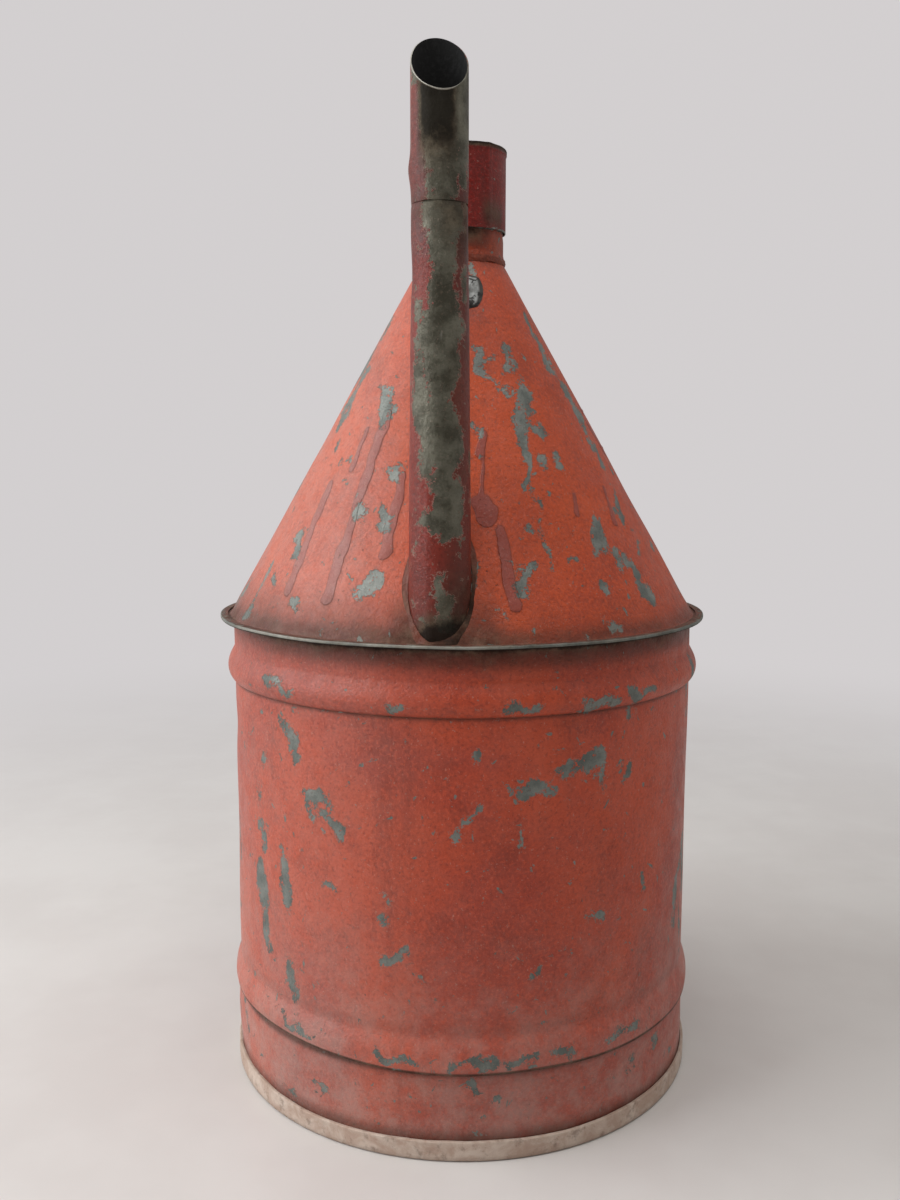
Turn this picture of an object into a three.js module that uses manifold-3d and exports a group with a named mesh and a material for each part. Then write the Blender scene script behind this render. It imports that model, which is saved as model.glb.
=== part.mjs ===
// A spouted sheet-metal can: a rolled body on a foot band and hoop, a conical shoulder folded to it
// at the rim, a filler neck with a slip-on cap, a tall tapered spout held by a brace, and a strap
// handle opposite the spout. Millimetres, +Z up. The origin is on the ground under the can's axis;
// the spout stands towards -Y and the handle towards +Y.
import * as THREE from "three";
import { mergeVertices } from "three/addons/utils/BufferGeometryUtils.js";
import Module from "manifold-3d";

const wasm = await Module();
wasm.setup();

// ---- Driving dimensions -------------------------------------------------------------------------
const SHEET = 0.8; // gauge of every rolled sheet
const GAP = 0.3; // solder or fold clearance between neighbouring pieces
const BODY_FACETS = 48;
const NECK_FACETS = 32;
const TUBE_FACETS = 24;

const BODY_RADIUS = 142; // outside of the body wall
const RIM_RADIUS = 150; // outside of the folded rim
const RIM_TOP = 284;
const RIM_FOLD_WIDTH = 4.5; // how far the fold reaches back over the cone's flange

const LOWER_LIP_Z = 50.7; // where the body wall ends over the foot band
const LOWER_BEAD = { z: 57.5, halfHeight: 13, rise: 3.4 };
const UPPER_BEAD = { z: 253.5, halfHeight: 9.5, rise: 4.2 };

const BAND_RADIUS = 142.6;
const BAND_TOP = 63;
const HOOP_RADIUS = 144.6;
const HOOP_HEIGHT = 11.5;
const HOOP_WEB = 1.2;
const HOOP_INNER_HEIGHT = 9;
const BOTTOM_Z = 22; // underside of the recessed bottom plate

const CONE_FOOT_RADIUS = 143.9;
const CONE_TOP = { radius: 23.7, z: 497.5 };
const COLLAR_HEIGHT = 6.5; // upright collar that the neck slips over

const NECK_RADIUS = 24.8;
const NECK_FLARE = 0.8;
const NECK_TOP = 559;
const CAP_RADIUS = 26.6;
const CAP_BOTTOM = 513;
const CAP_TOP = 561.6;
const CAP_FOLD_WIDTH = 3.5; // fold of the cap's sleeve over its lid

const SPOUT_Y = -127; // the spout's upright axis
const SPOUT_FOOT_RADIUS = 17;
const SPOUT_NECK_RADIUS = 14.3;
const SPOUT_PLUG_RADIUS = 13.6; // swaged end inside the tip
const SPOUT_PLUG_TOP = 524;
const SPOUT_HOLE_RADIUS = 14.5;
const TIP_RADIUS = 14.7;
const TIP_BOTTOM = 504;
const MOUTH_FRONT_Z = 555.7; // the mouth is cut on a slant, low at the front
const MOUTH_BACK_Z = 588.4;
const MOUTH_TURN = 12; // degrees the mouth's low lip is turned from -Y towards +X

const BRACE = { width: 14, thickness: 1.5, z: 468, tabHeight: 16, footTop: 479, bend: 4 };
const STRAP = { width: 26, thickness: 1.6, bend: 9, bow: 26 };
const STRAP_UPPER_FOOT = { top: 463, bottom: 440 };
const STRAP_LOWER_FOOT = { top: 315, bottom: 290 };
const STRAP_REACH = 142; // the bow's farthest distance from the can's axis
const RIVET = { shank: 2, bore: 2.3, head: 4.2, dome: 2.2, tail: 3.4, tailThickness: 1.2 };
const SOLDER_REACH = 3.5; // how far a solder fillet spreads from its joint
const BRACE_PAD = { halfWidth: 15, bottom: 464, top: 484, thickness: 1.8 };

// ---- Derived values -----------------------------------------------------------------------------
const FLANGE_TOP = RIM_TOP - SHEET - GAP; // top face of the cone's flange, under the fold
const CONE_SLOPE = (CONE_FOOT_RADIUS - CONE_TOP.radius) / (CONE_TOP.z - FLANGE_TOP);
const CONE_NORMAL = new THREE.Vector2(1, CONE_SLOPE).normalize();

// Radius of the cone's outside at a height, moved out square to its surface by an offset.
const coneRadius = (z, offset = 0) =>
  CONE_TOP.radius + (CONE_TOP.z - z) * CONE_SLOPE + offset / CONE_NORMAL.x;

// ---- Outline helpers: every outline is a list of [radius or y, height] points ---------------------

// A bead's round-backed swell, as points up the wall from one height to another.
function beadPoints(wallRadius, bead, fromZ, toZ, steps) {
  return Array.from({ length: steps + 1 }, (_, i) => {
    const z = fromZ + ((toZ - fromZ) * i) / steps;
    const t = (z - bead.z) / bead.halfHeight;
    return [wallRadius + bead.rise * Math.max(0, 1 - t * t), z];
  });
}

// Closes an open line into a sheet's section by laying the thickness on the line's left side.
function sheetSection(line, thickness) {
  const points = line.map(([x, y]) => new THREE.Vector2(x, y));
  const leftOf = (a, b) => {
    const along = b.clone().sub(a).normalize();
    return new THREE.Vector2(-along.y, along.x);
  };
  const inner = points.map((p, i) => {
    const before = i > 0 ? leftOf(points[i - 1], p) : null;
    const after = i < points.length - 1 ? leftOf(p, points[i + 1]) : null;
    if (!before || !after) return p.clone().addScaledVector(before ?? after, thickness);
    const miter = before.clone().add(after).normalize();
    return p.clone().addScaledVector(miter, thickness / miter.dot(after));
  });
  return [...points, ...inner.reverse()].map((p) => [p.x, p.y]);
}

// Rounds the corners of an open line with arcs of one radius.
function roundedLine(corners, radius, steps = 5) {
  const points = corners.map(([x, y]) => new THREE.Vector2(x, y));
  const line = [points[0]];
  for (let i = 1; i < points.length - 1; i++) {
    const corner = points[i];
    const back = points[i - 1].clone().sub(corner).normalize();
    const on = points[i + 1].clone().sub(corner).normalize();
    const half = back.angleTo(on) / 2;
    const reach = radius / Math.tan(half);
    const middle = back.clone().add(on).normalize();
    const centre = corner.clone().addScaledVector(middle, radius / Math.sin(half));
    const start = corner.clone().addScaledVector(back, reach).sub(centre);
    const end = corner.clone().addScaledVector(on, reach).sub(centre);
    const turn = Math.atan2(start.cross(end), start.dot(end));
    for (let k = 0; k <= steps; k++) {
      line.push(start.clone().rotateAround(new THREE.Vector2(), (turn * k) / steps).add(centre));
    }
  }
  line.push(points[points.length - 1]);
  return line.map((p) => [p.x, p.y]);
}

// ---- Solid helpers ------------------------------------------------------------------------------

function solidOf(geometry) {
  const bare = geometry.clone();
  bare.deleteAttribute("normal");
  bare.deleteAttribute("uv");
  const merged = mergeVertices(bare, 1e-4);
  const vertProperties = merged.attributes.position.array;
  const triVerts = new Uint32Array(merged.index.array);
  const solid = new wasm.Manifold(new wasm.Mesh({ numProp: 3, vertProperties, triVerts }));
  if (solid.volume() > 0) return solid;
  for (let i = 0; i < triVerts.length; i += 3) {
    [triVerts[i + 1], triVerts[i + 2]] = [triVerts[i + 2], triVerts[i + 1]];
  }
  return new wasm.Manifold(new wasm.Mesh({ numProp: 3, vertProperties, triVerts }));
}

function geometryOf(solid) {
  const { vertProperties, triVerts } = solid.getMesh();
  const geometry = new THREE.BufferGeometry();
  geometry.setAttribute("position", new THREE.BufferAttribute(vertProperties, 3));
  geometry.setIndex(new THREE.BufferAttribute(triVerts, 1));
  return geometry;
}

// Turns a closed section about the Z axis, with a flat facing each of +X, -X, +Y and -Y.
function turned(section, facets) {
  const onAxis = section[0][0] === 0;
  const loop = onAxis ? section : [...section, section[0]];
  const points = loop.map(([r, z]) => new THREE.Vector2(r, z));
  const geometry = new THREE.LatheGeometry(points, facets, Math.PI / facets);
  return solidOf(geometry.rotateX(Math.PI / 2));
}

// Pushes a closed outline of [y, z] points through a width centred on X = 0.
function pushed(outline, width) {
  const shape = new THREE.Shape(outline.map(([y, z]) => new THREE.Vector2(y, z)));
  const geometry = new THREE.ExtrudeGeometry(shape, { depth: width, bevelEnabled: false });
  const basis = new THREE.Matrix4().makeBasis(
    new THREE.Vector3(0, 1, 0),
    new THREE.Vector3(0, 0, 1),
    new THREE.Vector3(1, 0, 0),
  );
  return solidOf(geometry.translate(0, 0, -width / 2).applyMatrix4(basis));
}

const ring = (inner, outer, low, high, facets) =>
  turned([[outer, low], [outer, high], [inner, high], [inner, low]], facets);

const rod = (radius, low, high, facets) =>
  turned([[0, low], [radius, low], [radius, high], [0, high]], facets);

function block(low, high) {
  const size = high.map((v, i) => v - low[i]);
  const middle = high.map((v, i) => (v + low[i]) / 2);
  return solidOf(new THREE.BoxGeometry(...size).translate(...middle));
}

// The cone's whole inside as one solid, its outside moved out by an offset.
function coneCore(offset) {
  const low = FLANGE_TOP - 20;
  const high = CONE_TOP.z - 2;
  return turned(
    [[0, low], [coneRadius(low, offset), low], [coneRadius(high, offset), high], [0, high]],
    BODY_FACETS,
  );
}

// ---- Body, foot and bottom ----------------------------------------------------------------------

function bodyShell() {
  const lowerHigh = LOWER_BEAD.z + LOWER_BEAD.halfHeight;
  const upperLow = UPPER_BEAD.z - UPPER_BEAD.halfHeight;
  const upperHigh = UPPER_BEAD.z + UPPER_BEAD.halfHeight;
  const flangeUnder = RIM_TOP - 3 * SHEET - 2 * GAP;
  const line = [
    ...beadPoints(BODY_RADIUS, LOWER_BEAD, LOWER_LIP_Z, lowerHigh, 5),
    ...beadPoints(BODY_RADIUS, UPPER_BEAD, upperLow, upperHigh, 6),
    [BODY_RADIUS, flangeUnder],
    [RIM_RADIUS, flangeUnder],
    [RIM_RADIUS, RIM_TOP],
    [RIM_RADIUS - RIM_FOLD_WIDTH, RIM_TOP],
  ];
  return turned(sheetSection(line, SHEET), BODY_FACETS);
}

const footBand = () =>
  ring(BAND_RADIUS - SHEET, BAND_RADIUS, HOOP_WEB + GAP, BAND_TOP, BODY_FACETS);

function bottomPlate() {
  const radius = BAND_RADIUS - SHEET - GAP;
  const low = HOOP_WEB + GAP;
  const top = BOTTOM_Z + SHEET;
  const inside = radius - SHEET;
  return turned(
    [[0, top], [radius, top], [radius, low], [inside, low], [inside, BOTTOM_Z], [0, BOTTOM_Z]],
    BODY_FACETS,
  );
}

// A channel rolled round the foot: its web is what the can stands on.
function footHoop() {
  const outerLeg = BAND_RADIUS + GAP;
  const slot = BAND_RADIUS - 2 * SHEET - 2 * GAP;
  const inside = slot - HOOP_WEB;
  return turned(
    [
      [inside, 0],
      [HOOP_RADIUS, 0],
      [HOOP_RADIUS, HOOP_HEIGHT],
      [outerLeg, HOOP_HEIGHT],
      [outerLeg, HOOP_WEB],
      [slot, HOOP_WEB],
      [slot, HOOP_INNER_HEIGHT],
      [inside, HOOP_INNER_HEIGHT],
    ],
    BODY_FACETS,
  );
}

// ---- Shoulder and neck --------------------------------------------------------------------------

function shoulderCone() {
  const flangeEdge = RIM_RADIUS - SHEET - GAP;
  const line = [
    [flangeEdge, FLANGE_TOP],
    [CONE_FOOT_RADIUS, FLANGE_TOP],
    [CONE_TOP.radius, CONE_TOP.z],
    [CONE_TOP.radius, CONE_TOP.z + COLLAR_HEIGHT],
  ];
  const hole = rod(SPOUT_HOLE_RADIUS, FLANGE_TOP + SHEET, CONE_TOP.z, TUBE_FACETS);
  const pierced = turned(sheetSection(line, SHEET), BODY_FACETS).subtract(
    hole.translate([0, SPOUT_Y, 0]),
  );
  return rivetPlaces().reduce((cone, place) => cone.subtract(rivetBore(place)), pierced);
}

function fillerNeck() {
  const footZ = CONE_TOP.z - 1;
  const line = [
    [NECK_RADIUS + NECK_FLARE, footZ],
    [NECK_RADIUS, footZ + 4],
    [NECK_RADIUS, NECK_TOP],
  ];
  return turned(sheetSection(line, SHEET), NECK_FACETS);
}

function neckSolder() {
  const inner = NECK_RADIUS + NECK_FLARE + 2 * GAP;
  const outerZ = CONE_TOP.z - 5.5;
  const innerZ = CONE_TOP.z - (inner - CONE_TOP.radius - GAP / CONE_NORMAL.x) / CONE_SLOPE;
  return turned(
    [[inner, innerZ], [coneRadius(outerZ, GAP), outerZ], [inner, CONE_TOP.z + 1]],
    NECK_FACETS,
  );
}

// ---- Cap ----------------------------------------------------------------------------------------

function capSleeve() {
  const line = [
    [CAP_RADIUS, CAP_BOTTOM],
    [CAP_RADIUS, CAP_TOP],
    [CAP_RADIUS - CAP_FOLD_WIDTH, CAP_TOP],
  ];
  return turned(sheetSection(line, SHEET), NECK_FACETS);
}

function capLid() {
  const top = CAP_TOP - SHEET - GAP;
  return rod(CAP_RADIUS - SHEET - GAP, top - SHEET, top, NECK_FACETS);
}

// ---- Spout --------------------------------------------------------------------------------------

function spoutTube() {
  const shoulder = TIP_BOTTOM - 4;
  const line = [
    [SPOUT_FOOT_RADIUS, RIM_TOP + GAP],
    [SPOUT_NECK_RADIUS, shoulder],
    [SPOUT_PLUG_RADIUS, TIP_BOTTOM - GAP],
    [SPOUT_PLUG_RADIUS, SPOUT_PLUG_TOP],
  ];
  return turned(sheetSection(line, SHEET), TUBE_FACETS)
    .translate([0, SPOUT_Y, 0])
    .subtract(coneCore(GAP));
}

function spoutTip() {
  const sleeve = ring(TIP_RADIUS - SHEET, TIP_RADIUS, TIP_BOTTOM, MOUTH_BACK_Z, TUBE_FACETS);
  const margin = 5; // how far the cutting block reaches past the sleeve
  const slope = (MOUTH_BACK_Z - MOUTH_FRONT_Z) / (2 * TIP_RADIUS);
  const front = -TIP_RADIUS - margin;
  const back = TIP_RADIUS;
  const above = MOUTH_BACK_Z + 2 * margin;
  const block = pushed(
    [[front, MOUTH_FRONT_Z - margin * slope], [back, MOUTH_BACK_Z], [back, above], [front, above]],
    4 * TIP_RADIUS,
  );
  return sleeve.subtract(block.rotate([0, 0, MOUTH_TURN])).translate([0, SPOUT_Y, 0]);
}

// The fillet round the spout's foot: a collar about the tube, trimmed to a layer over the cone.
function spoutSolder() {
  const inner = SPOUT_FOOT_RADIUS + GAP;
  const collar = ring(inner, inner + SOLDER_REACH, RIM_TOP + GAP, 360, TUBE_FACETS);
  return collar
    .translate([0, SPOUT_Y, 0])
    .intersect(coneCore(GAP + SOLDER_REACH))
    .subtract(coneCore(GAP));
}

// A strip from the spout's back to the top of the cone, its inner end bent up the slope.
function spoutBrace() {
  const { width, thickness, z, tabHeight, footTop, bend } = BRACE;
  const back = SPOUT_Y + SPOUT_FOOT_RADIUS - (SPOUT_FOOT_RADIUS - SPOUT_NECK_RADIUS) * 0.8;
  const line = roundedLine(
    [
      [back + GAP, z + tabHeight],
      [back + GAP, z],
      [-coneRadius(z, 2 * GAP), z],
      [-coneRadius(footTop, 2 * GAP), footTop],
    ],
    bend,
  );
  return pushed(sheetSection(line, thickness), width);
}

// Solder spread over the cone on both sides of the brace's foot and above its end.
function braceSolder() {
  const { halfWidth, bottom, top, thickness } = BRACE_PAD;
  const slot = BRACE.width / 2 + GAP;
  const reach = coneRadius(bottom, 4 * thickness);
  const near = -coneRadius(top) / 2;
  return coneCore(GAP + thickness)
    .subtract(coneCore(GAP))
    .intersect(block([-halfWidth, -reach, bottom], [halfWidth, near, top]))
    .subtract(block([-slot, -reach, bottom - 1], [slot, near, BRACE.footTop + 4 * GAP]));
}

// ---- Handle -------------------------------------------------------------------------------------

// A point on the cone's handle side, off its surface by an offset, as [y, z].
const onCone = (z, offset) => [coneRadius(z, offset), z];

function strapLine() {
  const upper = STRAP_UPPER_FOOT;
  const lower = STRAP_LOWER_FOOT;
  const bowTop = upper.bottom + 4;
  const inner = roundedLine(
    [
      onCone(upper.top, GAP),
      onCone(upper.bottom, GAP),
      [STRAP_REACH - 2 * STRAP.bow, bowTop + 2],
      [STRAP_REACH - STRAP.bow / 2, bowTop],
    ],
    STRAP.bend,
    4,
  );
  const outer = roundedLine(
    [
      [STRAP_REACH - 1.5 * STRAP.bow, bowTop + 2],
      [STRAP_REACH - STRAP.thickness, bowTop],
      onCone(lower.top, GAP),
      onCone(lower.bottom, GAP),
    ],
    STRAP.bow,
    7,
  );
  return [...inner.slice(0, -2), ...outer.slice(1)];
}

const handleStrap = () =>
  rivetPlaces().reduce(
    (strap, place) => strap.subtract(rivetBore(place)),
    pushed(sheetSection(strapLine(), STRAP.thickness), STRAP.width),
  );

// The four rivets stand square to the cone on the strap's centre line, two in each foot.
function rivetPlaces() {
  const feet = { upper: STRAP_UPPER_FOOT, lower: STRAP_LOWER_FOOT };
  return Object.entries(feet).flatMap(([foot, { top, bottom }]) =>
    [0.3, 0.72].map((share, i) => ({
      name: `rivet_${foot}_${i + 1}`,
      z: top + (bottom - top) * share,
    })),
  );
}

// Moves a solid made along +Z so that its Z = 0 lies on the cone and its +Z points straight out.
function standOnCone(solid, z) {
  const lean = (Math.atan2(CONE_NORMAL.x, CONE_NORMAL.y) * 180) / Math.PI;
  const flat = Math.cos(Math.PI / BODY_FACETS);
  return solid.rotate([-lean, 0, 0]).translate([0, coneRadius(z) * flat, z]);
}

const rivetBore = ({ z }) => standOnCone(rod(RIVET.bore, -8, 8, TUBE_FACETS / 2), z);

function rivet({ z }) {
  const tailTop = -SHEET - GAP;
  const headUnder = STRAP.thickness + 3 * GAP + 0.2;
  const dome = [0.25, 0.5, 0.75].map((share) => {
    const angle = (share * Math.PI) / 2;
    return [RIVET.head * Math.cos(angle), headUnder + RIVET.dome * Math.sin(angle)];
  });
  const profile = [
    [0, tailTop - RIVET.tailThickness],
    [RIVET.tail, tailTop - RIVET.tailThickness],
    [RIVET.tail, tailTop],
    [RIVET.shank, tailTop],
    [RIVET.shank, headUnder],
    [RIVET.head, headUnder],
    ...dome,
    [0, headUnder + RIVET.dome],
  ];
  return standOnCone(turned(profile, TUBE_FACETS / 2), z);
}

// ---- Assembly -----------------------------------------------------------------------------------

const finishes = {
  redPaint: { color: 0x9f4433, roughness: 0.6, metalness: 0.0 },
  darkPaint: { color: 0x6b2320, roughness: 0.55, metalness: 0.0 },
  bareSteel: { color: 0x5a5549, roughness: 0.55, metalness: 0.7 },
  solder: { color: 0x8d8f8c, roughness: 0.5, metalness: 0.8 },
};

function named(name, solid, finish) {
  const mesh = new THREE.Mesh(geometryOf(solid), new THREE.MeshStandardMaterial(finish));
  mesh.name = name;
  return mesh;
}

const { redPaint, darkPaint, bareSteel, solder } = finishes;
const can = new THREE.Group();
can.add(
  named("body_shell", bodyShell(), redPaint),
  named("foot_band", footBand(), redPaint),
  named("foot_hoop", footHoop(), bareSteel),
  named("bottom_plate", bottomPlate(), bareSteel),
  named("shoulder_cone", shoulderCone(), redPaint),
  named("filler_neck", fillerNeck(), redPaint),
  named("neck_solder", neckSolder(), solder),
  named("spout_tube", spoutTube(), redPaint),
  named("spout_tip", spoutTip(), bareSteel),
  named("spout_solder", spoutSolder(), solder),
  named("spout_brace", spoutBrace(), redPaint),
  named("brace_solder", braceSolder(), solder),
  named("handle_strap", handleStrap(), redPaint),
  ...rivetPlaces().map((place) => named(place.name, rivet(place), redPaint)),
);

const cap = new THREE.Group();
cap.add(named("cap_sleeve", capSleeve(), darkPaint), named("cap_lid", capLid(), darkPaint));
can.add(cap);

export default can;
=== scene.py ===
"""Looks for a weathered, red-painted sheet-metal can with a tall spout, a capped neck and a strap handle.

Every CAD node is replaced by a fine mesh of the same piece: rolled sheet with dents, beads, seams and
paint runs in its geometry. Angles run round the can from the spout, positive towards +X. Sizes here are
in millimetres until a mesh is made. Three numbers are painted on every vertex for the materials to read:
"bare" and "run" are distances in millimetres inside a worn patch or a paint run, and "grime" is from 0 to 1.
"grime" holds dirt and also painted shade: under the rim, in the creases under the beads and the lip, and
inside and down the shaded side of the spout. Bare values of 12 and more ask for bright edge metal, which
is partly a painted highlight on the side towards the light.
"""
import math

import bmesh
import bpy
import numpy as np
from mathutils import Euler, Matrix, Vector, noise


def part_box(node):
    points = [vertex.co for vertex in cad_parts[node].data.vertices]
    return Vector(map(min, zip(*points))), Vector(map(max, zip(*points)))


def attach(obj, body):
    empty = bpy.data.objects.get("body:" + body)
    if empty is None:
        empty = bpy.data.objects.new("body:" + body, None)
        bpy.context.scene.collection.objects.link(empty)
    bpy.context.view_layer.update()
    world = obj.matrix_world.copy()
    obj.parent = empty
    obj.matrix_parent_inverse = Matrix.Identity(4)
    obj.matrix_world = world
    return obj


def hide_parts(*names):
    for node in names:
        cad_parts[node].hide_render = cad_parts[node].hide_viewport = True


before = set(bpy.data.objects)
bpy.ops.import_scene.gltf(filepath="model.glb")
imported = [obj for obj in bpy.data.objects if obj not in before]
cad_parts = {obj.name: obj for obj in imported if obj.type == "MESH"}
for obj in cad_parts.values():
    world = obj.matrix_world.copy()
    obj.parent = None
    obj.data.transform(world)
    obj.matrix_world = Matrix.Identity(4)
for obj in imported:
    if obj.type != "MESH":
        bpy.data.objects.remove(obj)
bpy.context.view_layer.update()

MM = 0.001
SEED = 7
rng = np.random.default_rng(SEED)

# ---- Sizes taken from the frame ----
BODY_FACETS, NECK_FACETS, TUBE_FACETS = 48, 32, 24  # the CAD solids' facets, whose flats face X and Y


def low(node):
    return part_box(node)[0].z / MM


def high(node):
    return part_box(node)[1].z / MM


def radius(node, facets):
    """The circle through the corners of a faceted solid."""
    lowest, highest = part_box(node)
    return (highest.x - lowest.x) / 2 / MM / math.cos(math.pi / facets)


SHEET = 0.6
RIM_R, RIM_TOP = radius("body_shell", BODY_FACETS), high("body_shell")
BODY_R = RIM_R - 8
LIP_Z = low("body_shell")
BAND_R, BAND_TOP = radius("foot_band", BODY_FACETS), high("foot_band")
HOOP_R, HOOP_TOP = radius("foot_hoop", BODY_FACETS), high("foot_hoop")
CONE_R, CONE_FOOT = RIM_R - 6.1, RIM_TOP - 0.75
COLLAR_R, COLLAR_FOOT, COLLAR_TOP = 23.7, high("shoulder_cone") - 6.5, high("shoulder_cone")
CONE_RISE = (COLLAR_FOOT - CONE_FOOT) / (CONE_R - COLLAR_R)  # height gained per millimetre of radius
NECK_R, NECK_LOW, NECK_TOP = radius("filler_neck", NECK_FACETS) - 0.8, low("filler_neck"), high("filler_neck")
CAP_R, CAP_LOW, CAP_TOP = radius("cap_sleeve", NECK_FACETS), low("cap_sleeve"), high("cap_sleeve")
SPOUT_Y = (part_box("spout_tip")[0].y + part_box("spout_tip")[1].y) / 2 / MM
SPOUT_FOOT_R, SPOUT_NECK_R = radius("spout_tube", TUBE_FACETS), 14.3
TIP_R, TIP_LOW, TIP_HIGH = radius("spout_tip", TUBE_FACETS), low("spout_tip"), high("spout_tip")
MOUTH_FALL, MOUTH_TURN = 32.7, math.radians(12)  # how much lower its front lip is, and where that lip is
LOWER_BEAD = (56.5, 13.0, 13.5, 3.4)  # height of the ridge, reach below and above it, and swell
UPPER_BEAD = (252.6, 7.8, 11.5, 4.2)


def cone_radius(z):
    return COLLAR_R + (COLLAR_FOOT - z) / CONE_RISE


def cone_height(r):
    return COLLAR_FOOT - (r - COLLAR_R) * CONE_RISE


# ---- Wear: strokes of (angle, height) to (angle, height) with a half-width ----
CONE_BARE = [
    (15, 438, 16, 434, 4.5), (14, 429, 27, 415, 1.8), (29, 439, 31, 427, 2.2), (33, 441, 35, 428, 1.2),
    (36, 420, 35, 408, 4.5), (31, 406, 26, 362, 2.6), (37, 395, 36, 391, 3.2), (27, 397, 28, 388, 1.6),
    (42, 379, 40, 375, 2.4), (35, 378, 34, 373, 2.0), (48, 342, 45, 329, 4.0), (22, 321, 19, 308, 3.2),
    (51, 326, 50, 320, 3.0), (54, 322, 57, 300, 3.8), (35, 323, 35, 322, 1.6), (41, 310, 42, 308, 2.2),
    (8, 320, 8, 312, 2.4), (40, 289, 42, 287, 2.4), (-34, 417, -28, 400, 4.2), (-19, 372, -17, 369, 3.2),
    (-17, 347, -18, 341, 3.4), (-48, 332, -46, 326, 3.6), (-17, 313, -18, 309, 4.2),
    (-27, 352, -26, 346, 3.2), (-52, 312, -50, 306, 2.6), (66, 462, 64, 430, 3.0), (70, 420, 68, 372, 3.4),
    (66, 356, 62, 342, 2.6), (17, 490, 20, 484, 2.0), (28, 362, 29, 318, 0.4), (-38, 300, -36, 297, 2.0),
    (24, 341, 25, 337, 1.3), (12, 300, 15, 296, 1.2),
]
CONE_RUNS = [
    (-44, 364, -42, 306, 3.1), (-28.4, 402, -28, 303, 3.3), (-14.5, 368, -15, 328, 3.4),
    (15.5, 340, 17, 303, 3.4), (43, 359, 41, 347, 1.5), (60, 361, 57, 341, 1.5), (11, 355, 12.5, 349, 5.6),
    (13.5, 392, 11.5, 380, 2.6), (11.8, 380, 11, 358, 1.0), (-36, 396, -36.5, 372, 1.8),
]
BODY_BARE = [
    (-39, 236, -33.5, 214, 2.6), (-31.5, 197, -25, 194, 2.8), (-27, 187, -22, 178, 3.2),
    (-47, 210, -47, 206, 2.0), (-48.5, 169, -47.5, 157, 2.6), (-50, 147, -47, 96, 3.8),
    (-39.3, 158, -38.5, 129, 3.4), (-38, 97, -36.5, 72, 2.4), (8.3, 224, 8.3, 222, 2.2),
    (3.6, 185, 3.4, 182, 2.6), (18.5, 206, 24, 205, 4.0), (27, 214, 35, 219, 2.4),
    (34, 219, 36.5, 220, 4.2), (37.2, 214, 36.7, 203, 1.2), (-12, 146, -11, 145, 1.6),
    (-12.5, 133, -11.5, 132, 2.2), (-12.3, 110, -7.8, 116, 2.6), (-26, 148, -25, 145, 2.0),
    (22.8, 108, 22, 102, 1.4), (46, 243, 46, 240, 2.2), (14, 250.5, 21, 250.5, 2.2),
    (33, 250, 39, 250, 2.6), (44, 252, 52, 252, 2.8), (-10, 250, -8, 250, 1.6), (-43, 256, -33, 253, 2.0),
    (46, 212, 46, 208, 1.2), (-50, 190, -49.5, 186, 1.8), (3, 57, 12, 57, 1.8), (16, 58, 20, 58, 2.0),
    (26, 58, 30, 57, 1.8), (-14, 58, -5, 56, 1.6), (40, 59, 48, 59, 1.6), (-40, 60, -30, 58, 1.6),
]
BAND_BARE = [(7, 44, 7.5, 41, 2.6), (12.5, 36, 13.5, 33, 2.4), (57, 41, 58, 38, 2.6), (-30, 30, -28, 27, 1.8)]
SPOUT_BARE = [
    (14, 508, 12, 440, 9.2), (8, 440, 10, 385, 9.8), (16, 385, 22, 345, 7.0), (-40, 455, -38, 446, 2.2),
    (-40, 436, -34, 395, 4.0), (-30, 400, -20, 372, 3.0), (-20, 350, -14, 346, 4.0), (4, 318, 8, 308, 1.6),
    (14, 306, 18, 294, 3.0), (64, 470, 66, 458, 2.0), (120, 470, 128, 420, 4.5),
    (-140, 430, -132, 380, 4.0), (170, 400, 175, 340, 3.5), (95, 380, 98, 350, 3.0),
    (-100, 500, -96, 470, 3.0),
]
TIP_BARE = [(12, 586, 15, 500, 9.6), (62, 580, 60, 515, 6), (-50, 578, -50, 562, 3), (150, 570, 160, 530, 4)]


def scattered(count, first, last, z_low, z_high, longest, widest):
    """Strokes at random places between two angles, mostly upright."""
    strokes = []
    for _ in range(count):
        a = rng.uniform(first, last)
        z = rng.uniform(z_low, z_high)
        strokes.append((a, z, a + rng.uniform(-3, 3), z - rng.uniform(0, longest), rng.uniform(1.2, widest)))
    return strokes


def ripple(u, v, size, shortest, longest, waves=7):
    """Random waves over a flat place, for edges that wander."""
    total = np.zeros(u.shape)
    for _ in range(waves):
        heading, phase = rng.uniform(0, 2 * math.pi, 2)
        turn = 2 * math.pi / rng.uniform(shortest, longest)
        total += np.cos(turn * (u * math.cos(heading) + v * math.sin(heading)) + phase)
    return total * size / math.sqrt(waves)


def past(angle, degrees):
    """How far angles lie past a place given in degrees, from minus half a turn to half a turn."""
    return (angle - math.radians(degrees) + math.pi) % (2 * math.pi) - math.pi


def inside_strokes(angle, z, r, stretch, strokes, wander=2.0, drop=False):
    """How far each point lies inside the strokes, in millimetres along the sheet; negative outside.
    Worn strokes vary in width along their length; a drop is narrow where it starts and full at its end."""
    depth = np.full(angle.shape, -12.0)
    around = past(angle, 0) * r
    slip_u = ripple(around, z, wander, 7, 30)
    slip_v = ripple(around, z, wander, 7, 30)
    for a0, z0, a1, z1, half_width in strokes:
        px, py = past(angle, a0) * r + slip_u, (z - z0) * stretch + slip_v
        sx, sy = math.radians(a1 - a0) * r, (z1 - z0) * stretch
        t = np.clip((px * sx + py * sy) / (sx * sx + sy * sy + 1e-9), 0, 1)
        if drop:
            width = half_width * (0.90 + 0.35 * t**4)
        else:
            width = half_width * (1.0 + 0.35 * np.sin(5.5 * t + a0))
        depth = np.maximum(depth, width - np.hypot(px - t * sx, py - t * sy))
    return depth


def smooth_step(value, start, end):
    t = np.clip((value - start) / (end - start), 0, 1)
    return t * t * (3 - 2 * t)


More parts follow.
